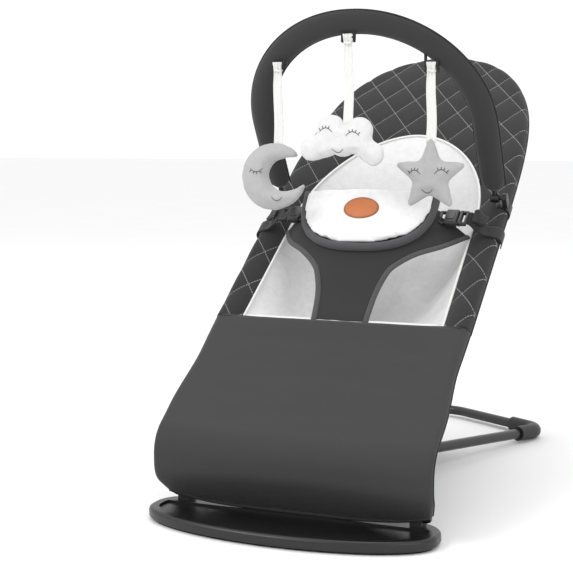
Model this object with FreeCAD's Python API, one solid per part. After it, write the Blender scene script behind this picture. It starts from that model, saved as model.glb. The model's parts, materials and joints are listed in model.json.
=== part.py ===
import FreeCAD, Part
import math
import os

# Bouncer seat: a half-oval base plate with two floor rails, a folding rear leg, a reclining lower frame
# of spring wire, a bouncing seat hoop with its fabric, a strapped bib and a tilting bar with hanging toys.
# Millimetres. +X is to the right seen from the front, +Y runs from the feet to the head, +Z is up.

Vec = FreeCAD.Vector
X_AXIS, Y_AXIS, Z_AXIS = Vec(1, 0, 0), Vec(0, 1, 0), Vec(0, 0, 1)

# Driving dimensions
ORIGIN_Y = 460.75         # from the plan datum to the middle of the whole length
INCLINE = 35.15           # slope of the seat, degrees
SEAT_Y, SEAT_Z = 146.0, 131.0   # foot of the sloping side tubes
FRAME_X = 176.0           # half width, tube centre to middle
FIT = 0.05                # running clearance, radial
GAP = 0.3                 # clearance between soft pieces and their neighbours

PLATE_HALF, PLATE_FRONT, PLATE_REAR, PLATE_MID = 197.0, 40.0, 166.0, 116.0
PLATE_TOP, SOLE_THICK, RIM_WIDTH, RIM_HEIGHT = 17.0, 3.0, 14.0, 3.0
PLATE_ROUND, PLATE_FOOT_ROUND = 5.0, 3.0
SOCKET_Y, SOCKET_Z = 150.0, 24.0
RAIL_INNER, RAIL_OUTER, RAIL_WALL = 46.0, 60.0, 3.0
RAIL_START, RAIL_END, RAIL_HEIGHT = 146.0, 618.0, 27.0
LEG_PIN_Y, LEG_PIN_R, LEG_R, LEG_WALL = 470.0, 4.0, 8.0, 1.2
LEG_CORNER_X, LEG_CORNER_Y, LEG_APEX_Y, LEG_Z = 189.0, 768.0, 886.0, 12.0
WIRE_R, SPIGOT_R = 4.0, 5.9
FRONT_Y, FRONT_LOW_Z, FRONT_X, SPLAY_S = 113.0, 58.0, 185.0, 46.0
HOOP_R, HOOP_WALL, HOOP_HALF, HOOP_BEND = 6.0, 1.2, 158.0, 112.0
HOOP_Y, HOOP_Z, CLAMP_S = 390.0, 185.0, 72.0
PROP_X, PROP_THICK, ROD_R, ROD_Z, PROP_LENGTH = 37.0, 5.0, 4.0, 30.5, 178.0
KNUCKLE_S = 120.0         # bounce axis, along the side tube
TUBE_R, TUBE_WALL = 8.0, 1.2
HEAD_S, HEAD_TOP, HEAD_START, HEAD_POWER, HEAD_STEPS = 300.0, 861.0, 0.285, 5, 12
SLEEVE_R = 10.5
SEAM_S = 196.0
PANEL_LOW, PANEL_HIGH = -8.0, 2.0
LINER_HALF, LINER_START, LINER_SIDE, LINER_END, LINER_DEPTH = 138.0, 212.0, 470.0, 642.0, 62.0
BAR_S, BAR_N, BAR_LEAN = 455.0, 24.0, 32.0
BAR_HALF, BAR_RISE, BAR_BEND, BAR_CORE_R = 169.0, 292.0, 167.0, 4.0
BAR_PAD_WIDE, BAR_PAD_THICK, PAD_START = 18.0, 11.0, 16.0
BIB_LOW_S, BIB_LOW_N, BIB_TOP_S, BIB_TOP_N = 288.0, 46.0, 401.0, 86.0
BIB_HALF, BIB_THICK, COLUMN_HALF = 98.0, 9.0, 27.0
BUCKLE_S, BUCKLE_N = 387.0, 38.0
TOY_PLACES = [-118.5, -5.0, 108.0]
HOOK_LIFTS = [17.0, 1.0, -2.0]         # of the hooks above the bar's inner edge
HOOK_AHEADS = [15.5, 13.0, 12.0]       # of the hooks in front of the bar's middle
TOY_DROPS = [159.0, 143.0, 152.0]
MOON_R, MOON_SHIFT, STAR_TIP, STAR_WAIST = 54.0, -5.0, 57.0, 30.0
TOY_THICK, RIBBON_HALF, HOOK_PIN_R = 20.0, 6.5, 1.5
CLOUD_HEIGHT = 34.0


def save(name, shape):
    """Write one node, moved so that the origin is below the middle of the object."""
    placed = shape.copy()
    placed.translate(Vec(0, -ORIGIN_Y, 0))
    placed.exportStep("parts/%s.step" % name)


def save_pair(name, shape):
    """Write a piece and its mirror image on the other side."""
    save(name + "_right", shape)
    save(name + "_left", shape.mirror(Vec(0, 0, 0), X_AXIS))


def seat_point(x, along, out):
    """Point given by its distance along the seat slope and its height above it."""
    slope = math.radians(INCLINE)
    return Vec(x, SEAT_Y + along * math.cos(slope) - out * math.sin(slope),
               SEAT_Z + along * math.sin(slope) + out * math.cos(slope))


def on_seat(shape):
    """Move a shape drawn in (across, along, out) coordinates onto the seat slope."""
    placed = shape.copy()
    placed.rotate(Vec(0, 0, 0), X_AXIS, INCLINE)
    placed.translate(Vec(0, SEAT_Y, SEAT_Z))
    return placed


def box(low, high):
    return Part.makeBox(high[0] - low[0], high[1] - low[1], high[2] - low[2], Vec(*low))


def edges_along(shape, direction):
    return [e for e in shape.Edges if abs(e.tangentAt(e.FirstParameter).dot(direction)) > 0.9]


def rod(start, end, radius):
    run = end - start
    return Part.makeCylinder(radius, run.Length, start, run)


def bent_path(points, bends):
    """Straight runs joined by tangent arcs; bends holds one radius for each inner point."""
    edges = []
    last = points[0]
    for before, corner, after, radius in zip(points, points[1:], points[2:], bends):
        back = (before - corner).normalize()
        ahead = (after - corner).normalize()
        half = back.getAngle(ahead) / 2
        reach = radius / math.tan(half)
        start, end = corner + back * reach, corner + ahead * reach
        middle = corner + (back + ahead).normalize() * (radius / math.sin(half) - radius)
        if (start - last).Length > 1e-6:
            edges.append(Part.LineSegment(last, start).toShape())
        edges.append(Part.Arc(start, middle, end).toShape())
        last = end
    edges.append(Part.LineSegment(last, points[-1]).toShape())
    return Part.Wire(edges)


def sweep(path, profile):
    return path.makePipeShell([profile], True, False)


def solid_pipe(points, bends, radius):
    path = bent_path(points, bends)
    circle = Part.Wire(Part.makeCircle(radius, points[0], points[1] - points[0]))
    return sweep(path, circle)


def pipe(points, bends, outer, inner):
    return solid_pipe(points, bends, outer).cut(solid_pipe(points, bends, inner))


def offset_outline(points, distance):
    """Move a (y, z) polyline sideways to its left by a distance."""
    moved = []
    for index, point in enumerate(points):
        before = points[max(index - 1, 0)]
        after = points[min(index + 1, len(points) - 1)]
        first = (point - before) if index else (after - point)
        second = (after - point) if index < len(points) - 1 else first
        first.normalize()
        second.normalize()
        left = (X_AXIS.cross(first) + X_AXIS.cross(second)).normalize()
        stretch = distance / max(left.dot(X_AXIS.cross(first)), 0.2)
        moved.append(point + left * stretch)
    return moved


def band(points, bends, low, high, half_width):
    """A sheet across the seat that follows a (y, z) line, between two offsets to its left."""
    inner = bent_path(offset_outline(points, low), [max(r + low, 2) for r in bends])
    outer = bent_path(offset_outline(points, high), [max(r + high, 2) for r in bends])
    ends = [Part.LineSegment(inner.OrderedVertexes[k].Point, outer.OrderedVertexes[k].Point).toShape()
            for k in (0, -1)]
    face = Part.Face(Part.Wire(Part.__sortEdges__(inner.Edges + outer.Edges + ends)))
    face.translate(X_AXIS * -half_width)
    return face.extrude(X_AXIS * 2 * half_width)


def half_oval(inset, low, high):
    """The base plate's outline, drawn in by inset, as a slab."""
    half, front, rear = PLATE_HALF - inset, PLATE_FRONT + inset, PLATE_REAR - inset
    corner = rear - PLATE_MID
    oval = Part.Ellipse(Vec(0, PLATE_MID, low), half, PLATE_MID - front)
    sides = [Part.LineSegment(Vec(half, PLATE_MID, low), Vec(half, rear, low)),
             Part.LineSegment(Vec(half, rear, low), Vec(-half, rear, low)),
             Part.LineSegment(Vec(-half, rear, low), Vec(-half, PLATE_MID, low))]
    front_arc = Part.ArcOfEllipse(oval, math.pi, 2 * math.pi)
    slab = Part.Face(Part.Wire([front_arc.toShape()] + [s.toShape() for s in sides]))
    slab = slab.extrude(Z_AXIS * (high - low))
    upright = [e for e in edges_along(slab, Z_AXIS) if e.CenterOfMass.y > PLATE_MID + 1]
    return slab.makeFillet(corner * 0.8, upright)


# Base

def base_plate():
    plate = half_oval(0, SOLE_THICK, PLATE_TOP)
    flat = [e for e in plate.Edges if abs(e.BoundBox.ZMax - e.BoundBox.ZMin) < 0.1]
    plate = plate.makeFillet(PLATE_ROUND, [e for e in flat if e.BoundBox.ZMin > PLATE_TOP - 1])
    lower = [e for e in plate.Edges if e.BoundBox.ZMax < SOLE_THICK + 0.1]
    plate = plate.makeFillet(PLATE_FOOT_ROUND, lower)
    dish = half_oval(RIM_WIDTH, PLATE_TOP - RIM_HEIGHT, PLATE_TOP + 1)
    dish = dish.common(box((-PLATE_HALF, 0, 0), (PLATE_HALF, SOCKET_Y - 16, 40)))
    save("base_plate", plate.cut(dish))
    sole = half_oval(6, 0, SOLE_THICK).cut(half_oval(26, -1, SOLE_THICK + 1))
    save("base_sole", sole)


def wire_sockets():
    low = (FRAME_X - 22, SOCKET_Y - 12, PLATE_TOP)
    high = (FRAME_X - 7, SOCKET_Y + 12, SOCKET_Z + 10)
    block = box(low, high)
    block = block.makeFillet(4, [e for e in block.Edges if abs(e.CenterOfMass.z - high[2]) < 0.1])
    bore = rod(Vec(FRAME_X - 30, SOCKET_Y, SOCKET_Z), Vec(FRAME_X, SOCKET_Y, SOCKET_Z), WIRE_R + FIT)
    save_pair("wire_socket", block.cut(bore))


def rails():
    top = PLATE_TOP + RAIL_HEIGHT
    rail = box((RAIL_INNER, RAIL_START, PLATE_TOP), (RAIL_OUTER, RAIL_END, top))
    channel = box((RAIL_INNER - 1, RAIL_START - 1, PLATE_TOP + RAIL_WALL),
                  (RAIL_OUTER - RAIL_WALL, RAIL_END + 1, top - RAIL_WALL))
    save_pair("floor_rail", rail.cut(channel))
    bridge = box((-RAIL_INNER, RAIL_END - 11, PLATE_TOP), (RAIL_INNER, RAIL_END, top))
    slot = box((-RAIL_INNER + 12, RAIL_END - 12, PLATE_TOP + 7), (RAIL_INNER - 12, RAIL_END + 1, top - 7))
    save("rail_bridge", bridge.cut(slot))
    middle = (RAIL_INNER + RAIL_OUTER - RAIL_WALL) / 2
    floor = PLATE_TOP + RAIL_WALL
    rivets = [Part.makeCylinder(3.2, 1.8, Vec(side * middle, along, floor))
              for side in (-1, 1) for along in (152, 161)]
    save("rail_rivets", Part.makeCompound(rivets))


def catch_tab():
    tab = box((-17, 142, PLATE_TOP), (17, 163, PLATE_TOP + 4))
    hooks = [box((x - 4, 157, PLATE_TOP + 4), (x + 4, 161, PLATE_TOP + 12)) for x in (-11, 11)]
    noses = [box((x - 4, 152, PLATE_TOP + 9), (x + 4, 157, PLATE_TOP + 12)) for x in (-11, 11)]
    save("catch_tab", tab.multiFuse(hooks + noses).removeSplitter())


def leg_pins():
    start = Vec(RAIL_OUTER, LEG_PIN_Y, ROD_Z)
    head = rod(start + X_AXIS * 13.5, start + X_AXIS * 16.5, 6.5)
    save_pair("leg_pin", rod(start, start + X_AXIS * 14, LEG_PIN_R).fuse(head).removeSplitter())


# Rear leg

def rear_leg():
    root = Vec(RAIL_OUTER + 10, LEG_PIN_Y + 18, ROD_Z - 1)
    corner = Vec(LEG_CORNER_X, LEG_CORNER_Y, LEG_Z)
    apex = Vec(0, LEG_APEX_Y, LEG_Z)
    corner_left, root_left = Vec(-corner.x, corner.y, corner.z), Vec(-root.x, root.y, root.z)
    points = [root, corner, apex, corner_left, root_left]
    leg = pipe(points, [30, 70, 30], LEG_R, LEG_R - LEG_WALL)
    pin = Vec(RAIL_OUTER, LEG_PIN_Y, ROD_Z)
    eye_start, eye_end = pin + X_AXIS * 0.5, pin + X_AXIS * 13
    lug = box((eye_start.x, LEG_PIN_Y, ROD_Z - 8), (eye_end.x, root.y + 4, ROD_Z + 8))
    lug = lug.fuse(rod(eye_start, eye_end, 8)).cut(rod(pin, pin + X_AXIS * 20, LEG_PIN_R + FIT))
    half = leg.common(box((0, 0, 0), (400, 1200, 200))).fuse(lug)
    save("rear_leg", half.fuse(half.mirror(Vec(0, 0, 0), X_AXIS)).removeSplitter())
    into_leg = (root - corner).normalize() * 62
    into_cross = (apex - corner).normalize() * 62
    wrap = [corner + into_leg, corner, corner + into_cross]
    sleeve = pipe(wrap, [30], LEG_Z, LEG_R + FIT)
    save_pair("foot_sleeve", sleeve.common(box((0, 0, 0), (400, 1200, 200))))


# Lower frame

def wire_points():
    """Right-hand spring wire: hinge end in its socket, front roll, then up the slope."""
    foot = seat_point(FRONT_X, (FRONT_Y - SEAT_Y) / math.cos(math.radians(INCLINE)), 0)
    return [Vec(FRAME_X - 21, SOCKET_Y, SOCKET_Z), Vec(FRAME_X, SOCKET_Y, SOCKET_Z),
            Vec(FRONT_X, FRONT_Y, FRONT_LOW_Z), foot, seat_point(FRAME_X, SPLAY_S, 0),
            seat_point(FRAME_X, KNUCKLE_S - 8, 0)]


WIRE_BENDS = [6.5, 34, 45, 60]


def lower_frame():
    save_pair("spring_wire", solid_pipe(wire_points(), WIRE_BENDS, WIRE_R))
    start, end = seat_point(FRAME_X, KNUCKLE_S - 16, 0), seat_point(FRAME_X, KNUCKLE_S + 8, 0)
    stop = seat_point(FRAME_X, KNUCKLE_S - 8, 0)
    save_pair("spigot", rod(start, end, SPIGOT_R).cut(rod(start, stop, WIRE_R)))
    clamp_y = seat_point(0, CLAMP_S, 0).y
    tail = Vec(HOOP_HALF, clamp_y, HOOP_Z - 19)
    bend = Vec(HOOP_HALF, HOOP_Y, HOOP_Z)
    points = [tail, bend, Vec(-bend.x, bend.y, bend.z), Vec(-tail.x, tail.y, tail.z)]
    save("support_hoop", pipe(points, [HOOP_BEND, HOOP_BEND], HOOP_R, HOOP_R - HOOP_WALL))
    clamp = box((HOOP_HALF - 9, clamp_y - 11, tail.z - 9), (FRAME_X + 7, clamp_y + 11, tail.z + 13))
    clamp = clamp.makeFillet(4, edges_along(clamp, X_AXIS))
    clamp = clamp.cut(rod(seat_point(FRAME_X, 20, 0), seat_point(FRAME_X, 118, 0), WIRE_R))
    clamp = clamp.cut(on_seat(box((100, 0, WIRE_R / 2), (200, 140, 60))))
    save_pair("hoop_clamp", clamp.cut(rod(tail, bend, HOOP_R)))
    collars = [rod(Vec(x, HOOP_Y, HOOP_Z), Vec(x + 3, HOOP_Y, HOOP_Z), 9).cut(
        rod(Vec(x - 1, HOOP_Y, HOOP_Z), Vec(x + 4, HOOP_Y, HOOP_Z), HOOP_R)) for x in (-34, 31)]
    save("hoop_collars", Part.makeCompound(collars))
    line = [Vec(0, p.y, p.z) for p in wire_points()[1:4]]
    line[0] = line[0] + (line[1] - line[0]).normalize() * 16
    line.append(seat_point(0, 103, 0))
    save("front_panel", band(line, WIRE_BENDS[1:3], WIRE_R + GAP, WIRE_R + 5, FRONT_X + 5))


# Prop

def prop_foot():
    drop = HOOP_Z - ROD_Z
    return Vec(0, HOOP_Y + math.sqrt(PROP_LENGTH ** 2 - drop ** 2), ROD_Z)


def prop():
    top, foot = Vec(0, HOOP_Y, HOOP_Z), prop_foot()
    near, far = PROP_X - PROP_THICK / 2, PROP_X + PROP_THICK / 2
    across = X_AXIS.cross(foot - top).normalize() * 6
    strip = [top + across, foot + across, foot - across, top - across, top + across]
    arm = Part.Face(Part.makePolygon(strip))
    arm.translate(X_AXIS * near)
    arm = arm.extrude(X_AXIS * PROP_THICK)
    for centre, radius in ((top, 10), (foot, 8)):
        arm = arm.fuse(rod(centre + X_AXIS * near, centre + X_AXIS * far, radius))
    arm = arm.cut(rod(top, top + X_AXIS * 60, HOOP_R + FIT)).cut(rod(foot, foot + X_AXIS * 60, ROD_R))
    save_pair("prop_arm", arm.removeSplitter())
    reach = X_AXIS * (RAIL_OUTER - RAIL_WALL - 1.5)
    save("prop_rod", rod(foot - reach, foot + reach, ROD_R))
    hexagon = [foot + Y_AXIS * 13 * math.cos(k * math.pi / 3) + Z_AXIS * 13 * math.sin(k * math.pi / 3)
               for k in range(7)]
    block = Part.Face(Part.makePolygon(hexagon))
    block.translate(X_AXIS * -16)
    block = block.extrude(X_AXIS * 32)
    block = block.makeFillet(2.5, edges_along(block, X_AXIS))
    save("latch_block", block.cut(rod(foot - reach, foot + reach, ROD_R + FIT)))


# Seat

def hoop_line(start, inset):
    """The seat's outline: straight tubes that close into an oval head, drawn in by inset."""
    half, rise = FRAME_X - inset, HEAD_TOP - HEAD_S - inset
    first = math.asin(HEAD_START)
    points = [Vec(half, HEAD_S + rise * HEAD_START, 0)]
    for step in range(1, HEAD_STEPS):
        share = math.sin(first + (math.pi / 2 - first) * step / HEAD_STEPS)
        points.append(Vec(half * math.sqrt(1 - share ** HEAD_POWER), HEAD_S + rise * share, 0))
    points += [Vec(0, HEAD_S + rise, 0)] + [Vec(-p.x, p.y, 0) for p in reversed(points)]
    crown = Part.BSplineCurve()
    crown.interpolate(Points=points, InitialTangent=Y_AXIS, FinalTangent=Y_AXIS * -1)
    return Part.Wire([Part.LineSegment(Vec(half, start, 0), points[0]).toShape(), crown.toShape(),
                      Part.LineSegment(points[-1], Vec(-half, start, 0)).toShape()])


def seat_frame():
    def hoop(start, radius):
        return sweep(hoop_line(start, 0), Part.Wire(Part.makeCircle(radius, Vec(FRAME_X, start, 0), Y_AXIS)))

    save("seat_hoop", on_seat(hoop(KNUCKLE_S - 8, TUBE_R).cut(hoop(KNUCKLE_S - 8, TUBE_R - TUBE_WALL))))
    sleeve = hoop(KNUCKLE_S + 6, SLEEVE_R).cut(hoop(KNUCKLE_S + 6, TUBE_R + FIT))
    save("edge_sleeve", on_seat(sleeve))


def liner_wire(scale, out):
    """The pocket's mouth, scaled about its middle and set at a depth."""
    half = LINER_HALF * scale
    middle = (LINER_START + LINER_END) / 2
    start, side, end = [middle + (s - middle) * scale for s in (LINER_START, LINER_SIDE, LINER_END)]
    crown = Part.BSplineCurve()
    crown.interpolate([Vec(half, side, out), Vec(half * 0.78, side + (end - side) * 0.62, out),
                       Vec(0, end, out), Vec(-half * 0.78, side + (end - side) * 0.62, out),
                       Vec(-half, side, out)])
    corners = [Vec(-half, side, out), Vec(-half, start, out), Vec(half, start, out), Vec(half, side, out)]
    sides = [Part.LineSegment(a, b).toShape() for a, b in zip(corners, corners[1:])]
    return Part.Wire([crown.toShape()] + sides)


def seat_fabric():
    half = FRAME_X - SLEEVE_R - GAP
    outline = hoop_line(SEAM_S, SLEEVE_R + 1.2)
    ends = outline.OrderedVertexes
    outline = Part.Wire(outline.Edges + [Part.LineSegment(ends[-1].Point, ends[0].Point).toShape()])
    outline.translate(Z_AXIS * PANEL_LOW)
    panel = Part.Face(outline).extrude(Z_AXIS * (PANEL_HIGH - PANEL_LOW))
    mouth = Part.Face(liner_wire(1, PANEL_LOW - 1)).extrude(Z_AXIS * 20)
    save("back_panel", on_seat(panel.cut(mouth)))
    save("lower_panel", on_seat(box((-half, KNUCKLE_S - 10, PANEL_LOW), (half, SEAM_S - GAP, PANEL_HIGH))))
    edge = 1 - 2 * GAP / (LINER_END - LINER_START)
    steps = [(edge, PANEL_HIGH), (edge, PANEL_LOW), (0.93, -LINER_DEPTH * 0.6), (0.72, -LINER_DEPTH)]
    outer = Part.makeLoft([liner_wire(scale, out) for scale, out in steps], True, True)
    inner = Part.makeLoft([liner_wire(scale - 0.045, out + 6) for scale, out in steps], True, True)
    save("seat_liner", on_seat(outer.cut(inner)))


def bib():
    rise = math.atan2(BIB_TOP_N - BIB_LOW_N, BIB_TOP_S - BIB_LOW_S)
    height = math.hypot(BIB_TOP_N - BIB_LOW_N, BIB_TOP_S - BIB_LOW_S)
    bow = 260.0
    curved = Part.makeCylinder(bow, height, Vec(0, 0, -bow), Y_AXIS).cut(
        Part.makeCylinder(bow - BIB_THICK, height, Vec(0, 0, -bow), Y_AXIS))
    shield = box((-BIB_HALF, 0, -80), (BIB_HALF, height, 20))
    shield = shield.makeFillet(72, [e for e in edges_along(shield, Z_AXIS) if e.CenterOfMass.y < 1])
    high = [e for e in edges_along(shield, Z_AXIS) if e.CenterOfMass.y > height - 1]
    panel = curved.common(shield.makeFillet(22, high))

    def lift(shape):
        placed = shape.copy()
        placed.rotate(Vec(0, 0, 0), X_AXIS, math.degrees(rise))
        placed.translate(Vec(0, BIB_LOW_S, BIB_LOW_N + BIB_THICK / 2))
        return on_seat(placed)

    save("bib_panel", lift(panel))
    oval = Part.Face(Part.Wire(Part.Ellipse(Vec(0, 62, 0), 27, 15).toShape()))
    patch = oval.extrude(Z_AXIS * 30)
    patch.translate(Z_AXIS * -15)
    skin = Part.makeCylinder(bow + 1.6, height, Vec(0, 0, -bow), Y_AXIS).cut(
        Part.makeCylinder(bow, height, Vec(0, 0, -bow), Y_AXIS))
    save("bib_patch", lift(patch.common(skin)))
    line = [seat_point(0, s, n) for s, n in ((SEAM_S + 4, PANEL_HIGH + 4), (SEAM_S + 36, 17),
                                             (BIB_LOW_S - 1, BIB_LOW_N - 1))]
    save("crotch_column", band(line, [60], -3, 3, COLUMN_HALF))
    save_pair("bib_wing", on_seat(wing()))


def wing():
    """Flat wing from the bib's edge down to the buckle, in seat coordinates."""
    start, end, thick = Vec(BIB_HALF + 1.5, 0, 54), Vec(BIB_HALF + 13, 0, BUCKLE_N + 1), Z_AXIS * 4
    outline = [start, end, end - thick, start - thick, start]
    face = Part.Face(Part.makePolygon(outline))
    face.translate(Y_AXIS * (BUCKLE_S - 17))
    return face.extrude(Y_AXIS * 34)


def buckles():
    inner, outer = BIB_HALF + 13.5, BIB_HALF + 33
    socket = box((inner, BUCKLE_S - 15, BUCKLE_N - 6), (outer, BUCKLE_S + 15, BUCKLE_N + 6))
    slot = box((inner + 3, BUCKLE_S - 11, BUCKLE_N - 3), (outer + 1, BUCKLE_S + 11, BUCKLE_N + 3))
    save_pair("buckle_socket", on_seat(socket.cut(slot)))
    prongs = [box((inner + 4, BUCKLE_S + s - 2.5, BUCKLE_N - 2.4),
                  (outer + 1, BUCKLE_S + s + 2.5, BUCKLE_N + 2.4)) for s in (-8, 0, 8)]
    body = box((outer + 0.6, BUCKLE_S - 14, BUCKLE_N - 4), (outer + 12, BUCKLE_S + 14, BUCKLE_N + 4))
    save_pair("buckle_plug", on_seat(body.multiFuse(prongs).removeSplitter()))
    start, end, thick = Vec(outer + 13, 0, BUCKLE_N + 1), Vec(FRAME_X - 6, 0, SLEEVE_R + 3.5), Z_AXIS * 2
    strip = Part.Face(Part.makePolygon([start, end, end - thick, start - thick, start]))
    strip.translate(Y_AXIS * (BUCKLE_S - 12))
    save_pair("side_strap", on_seat(strip.extrude(Y_AXIS * 24)))


# Toy bar

def bar_point(x, rise, ahead=0.0):
    """Point in the leaning plane of the bar, above its pivot line."""
    lean = math.radians(BAR_LEAN)
    pivot = seat_point(0, BAR_S, BAR_N)
    return Vec(x, pivot.y - rise * math.sin(lean) - ahead * math.cos(lean),
               pivot.z + rise * math.cos(lean) - ahead * math.sin(lean))


def bar_clamps():
    clamp = Part.makeCylinder(SLEEVE_R + 3.5, 20, Vec(FRAME_X, BAR_S - 10, 0), Y_AXIS)
    boss = box((FRAME_X + 4, BAR_S - 7, 8), (FRAME_X + 11, BAR_S + 7, BAR_N))
    boss = boss.fuse(rod(Vec(FRAME_X + 4, BAR_S, BAR_N), Vec(FRAME_X + 11, BAR_S, BAR_N), 7))
    clamp = clamp.fuse(boss)
    clamp = clamp.cut(Part.makeCylinder(SLEEVE_R + FIT, 40, Vec(FRAME_X, BAR_S - 20, 0), Y_AXIS))
    clamp = clamp.cut(box((FRAME_X - 40, BAR_S - 30, PANEL_LOW - 1), (FRAME_X, BAR_S + 30, PANEL_HIGH + 1)))
    pin = rod(Vec(FRAME_X - 12, BAR_S, BAR_N), Vec(FRAME_X + 5, BAR_S, BAR_N), 3.5)
    save_pair("bar_clamp", on_seat(clamp.fuse(pin).removeSplitter()))


def bar_path(start):
    points = [bar_point(BAR_HALF, start), bar_point(BAR_HALF, BAR_RISE),
              bar_point(-BAR_HALF, BAR_RISE), bar_point(-BAR_HALF, start)]
    return points, bent_path(points, [BAR_BEND, BAR_BEND])


def toy_bar():
    points, path = bar_path(5)
    core = sweep(path, Part.Wire(Part.makeCircle(BAR_CORE_R, points[0], points[1] - points[0])))
    for side in (1, -1):
        pivot = bar_point(side * BAR_HALF, 0)
        eye = rod(pivot - X_AXIS * 6, pivot + X_AXIS * 6, 7)
        core = core.fuse(eye).cut(rod(pivot - X_AXIS * 20, pivot + X_AXIS * 20, 3.5 + FIT))
    save("bar_core", core.removeSplitter())
    points, path = bar_path(PAD_START)
    hole = Part.Wire(Part.makeCircle(BAR_CORE_R + FIT, points[0], points[1] - points[0]))
    save("bar_pad", pad_solid().cut(sweep(path, hole)))


def bar_rise(x, inward):
    """Height of the bar's line at x, measured inward from its middle."""
    return BAR_RISE - BAR_BEND + math.sqrt((BAR_BEND - inward) ** 2 - max(abs(x) - BAR_HALF + BAR_BEND, 0) ** 2)


def toy_hook(index):
    """Middle of the pin that a toy's ribbon hangs from, in front of the bar's pad or below it."""
    x = TOY_PLACES[index]
    return bar_point(x, bar_rise(x, BAR_PAD_WIDE) + HOOK_LIFTS[index], HOOK_AHEADS[index])


def toy_loops():
    pad = pad_solid()
    loops = []
    for index, x in enumerate(TOY_PLACES):
        centre = toy_hook(index)
        loop = rod(centre - X_AXIS * 9, centre + X_AXIS * 9, HOOK_PIN_R)
        for side in (-8, 8):
            loop = loop.fuse(rod(centre + X_AXIS * side, bar_point(x + side, bar_rise(x + side, 0)), 1.2))
        loops.append(loop.cut(pad))
    save("toy_loops", Part.makeCompound(loops))


def pad_solid():
    points, path = bar_path(PAD_START)
    run = (points[1] - points[0]).normalize()
    oval = Part.Ellipse(points[0] + X_AXIS * BAR_PAD_WIDE, points[0] + run.cross(X_AXIS) * BAR_PAD_THICK,
                        points[0])
    return sweep(path, Part.Wire(oval.toShape()))


def soft_plate(face, centre):
    """A flat toy shape, upright across the seat and centred on a point."""
    face.translate(Z_AXIS * -TOY_THICK / 2)
    body = face.extrude(Z_AXIS * TOY_THICK)
    body.rotate(Vec(0, 0, 0), X_AXIS, 90)
    body.translate(centre)
    return body


def disc(x, y, radius):
    return Part.Face(Part.Wire(Part.makeCircle(radius, Vec(x, y, 0))))


def moon_face():
    mouth = Part.Face(Part.makePolygon([Vec(26, 26, 0), Vec(38, 60, 0), Vec(90, 60, 0), Vec(90, -20, 0),
                                        Vec(52, -16, 0), Vec(36, -14, 0), Vec(26, 26, 0)]))
    return disc(0, 0, MOON_R).cut(disc(24, 4, 28.5)).cut(mouth).Faces[0]


def cloud_face():
    puffs = [disc(-54, -11, 20), disc(-25, 16, 24), disc(17, 13, 23), disc(37, -19, 19), disc(-7, -3, 24),
             disc(-34, -8, 20)]
    return puffs[0].multiFuse(puffs[1:]).removeSplitter().Faces[0]


def star_face():
    tips = [Vec(r * math.sin(k * math.pi / 5), r * math.cos(k * math.pi / 5), 0)
            for k, r in zip(range(11), [STAR_TIP, STAR_WAIST] * 5 + [STAR_TIP])]
    return Part.Face(Part.makePolygon(tips))


def toys():
    shapes = [("moon", moon_face(), MOON_R, MOON_SHIFT), ("cloud", cloud_face(), CLOUD_HEIGHT, 0),
              ("star", star_face(), STAR_TIP, 0)]
    for index, (name, face, height, shift) in enumerate(shapes):
        hook = toy_hook(index)
        toy = soft_plate(face, hook - Z_AXIS * TOY_DROPS[index] + X_AXIS * shift)
        save("toy_" + name, toy)
        low = hook.z - TOY_DROPS[index] + height
        eye = rod(hook - X_AXIS * RIBBON_HALF, hook + X_AXIS * RIBBON_HALF, 3)
        strip = box((hook.x - RIBBON_HALF, hook.y - 0.8, low + GAP - 6),
                    (hook.x + RIBBON_HALF, hook.y + 0.8, hook.z - 1))
        ribbon = eye.fuse(strip).cut(rod(hook - X_AXIS * 20, hook + X_AXIS * 20, HOOK_PIN_R + FIT)).cut(toy)
        save("ribbon_" + name, max(ribbon.Solids, key=lambda s: s.Volume))


os.makedirs("parts", exist_ok=True)
base_plate()
wire_sockets()
rails()
catch_tab()
leg_pins()
rear_leg()
lower_frame()
prop()
seat_frame()
seat_fabric()
bib()
buckles()
bar_clamps()
toy_bar()
toy_loops()
toys()
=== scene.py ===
import json
import math

import bmesh
import bpy
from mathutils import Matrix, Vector, noise
from mathutils.bvhtree import BVHTree


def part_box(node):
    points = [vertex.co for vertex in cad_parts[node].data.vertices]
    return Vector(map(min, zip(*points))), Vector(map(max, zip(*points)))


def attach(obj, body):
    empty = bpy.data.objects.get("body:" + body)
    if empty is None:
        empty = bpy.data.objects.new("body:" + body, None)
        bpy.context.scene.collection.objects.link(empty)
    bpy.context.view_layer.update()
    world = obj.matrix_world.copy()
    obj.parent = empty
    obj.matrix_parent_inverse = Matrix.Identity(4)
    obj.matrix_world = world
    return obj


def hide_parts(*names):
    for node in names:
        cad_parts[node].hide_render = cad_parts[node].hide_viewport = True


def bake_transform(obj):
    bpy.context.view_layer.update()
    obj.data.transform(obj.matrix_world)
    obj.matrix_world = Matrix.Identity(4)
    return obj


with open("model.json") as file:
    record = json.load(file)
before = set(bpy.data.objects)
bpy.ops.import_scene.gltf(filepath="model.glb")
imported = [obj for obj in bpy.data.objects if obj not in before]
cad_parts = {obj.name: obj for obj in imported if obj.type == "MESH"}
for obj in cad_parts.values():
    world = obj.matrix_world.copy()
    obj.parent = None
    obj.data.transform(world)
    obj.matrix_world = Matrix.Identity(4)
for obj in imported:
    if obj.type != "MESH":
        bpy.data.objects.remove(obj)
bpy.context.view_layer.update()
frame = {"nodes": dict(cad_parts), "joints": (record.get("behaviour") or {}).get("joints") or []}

# Bouncer seat. Metres, in the CAD's frame. Seat coordinates are (x across, s up the slope, n above it).
joints = {joint["name"]: joint for joint in frame["joints"]}
nodes = frame["nodes"]


def pivot(name):
    return Vector(joints[name]["pos_m"])


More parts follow.
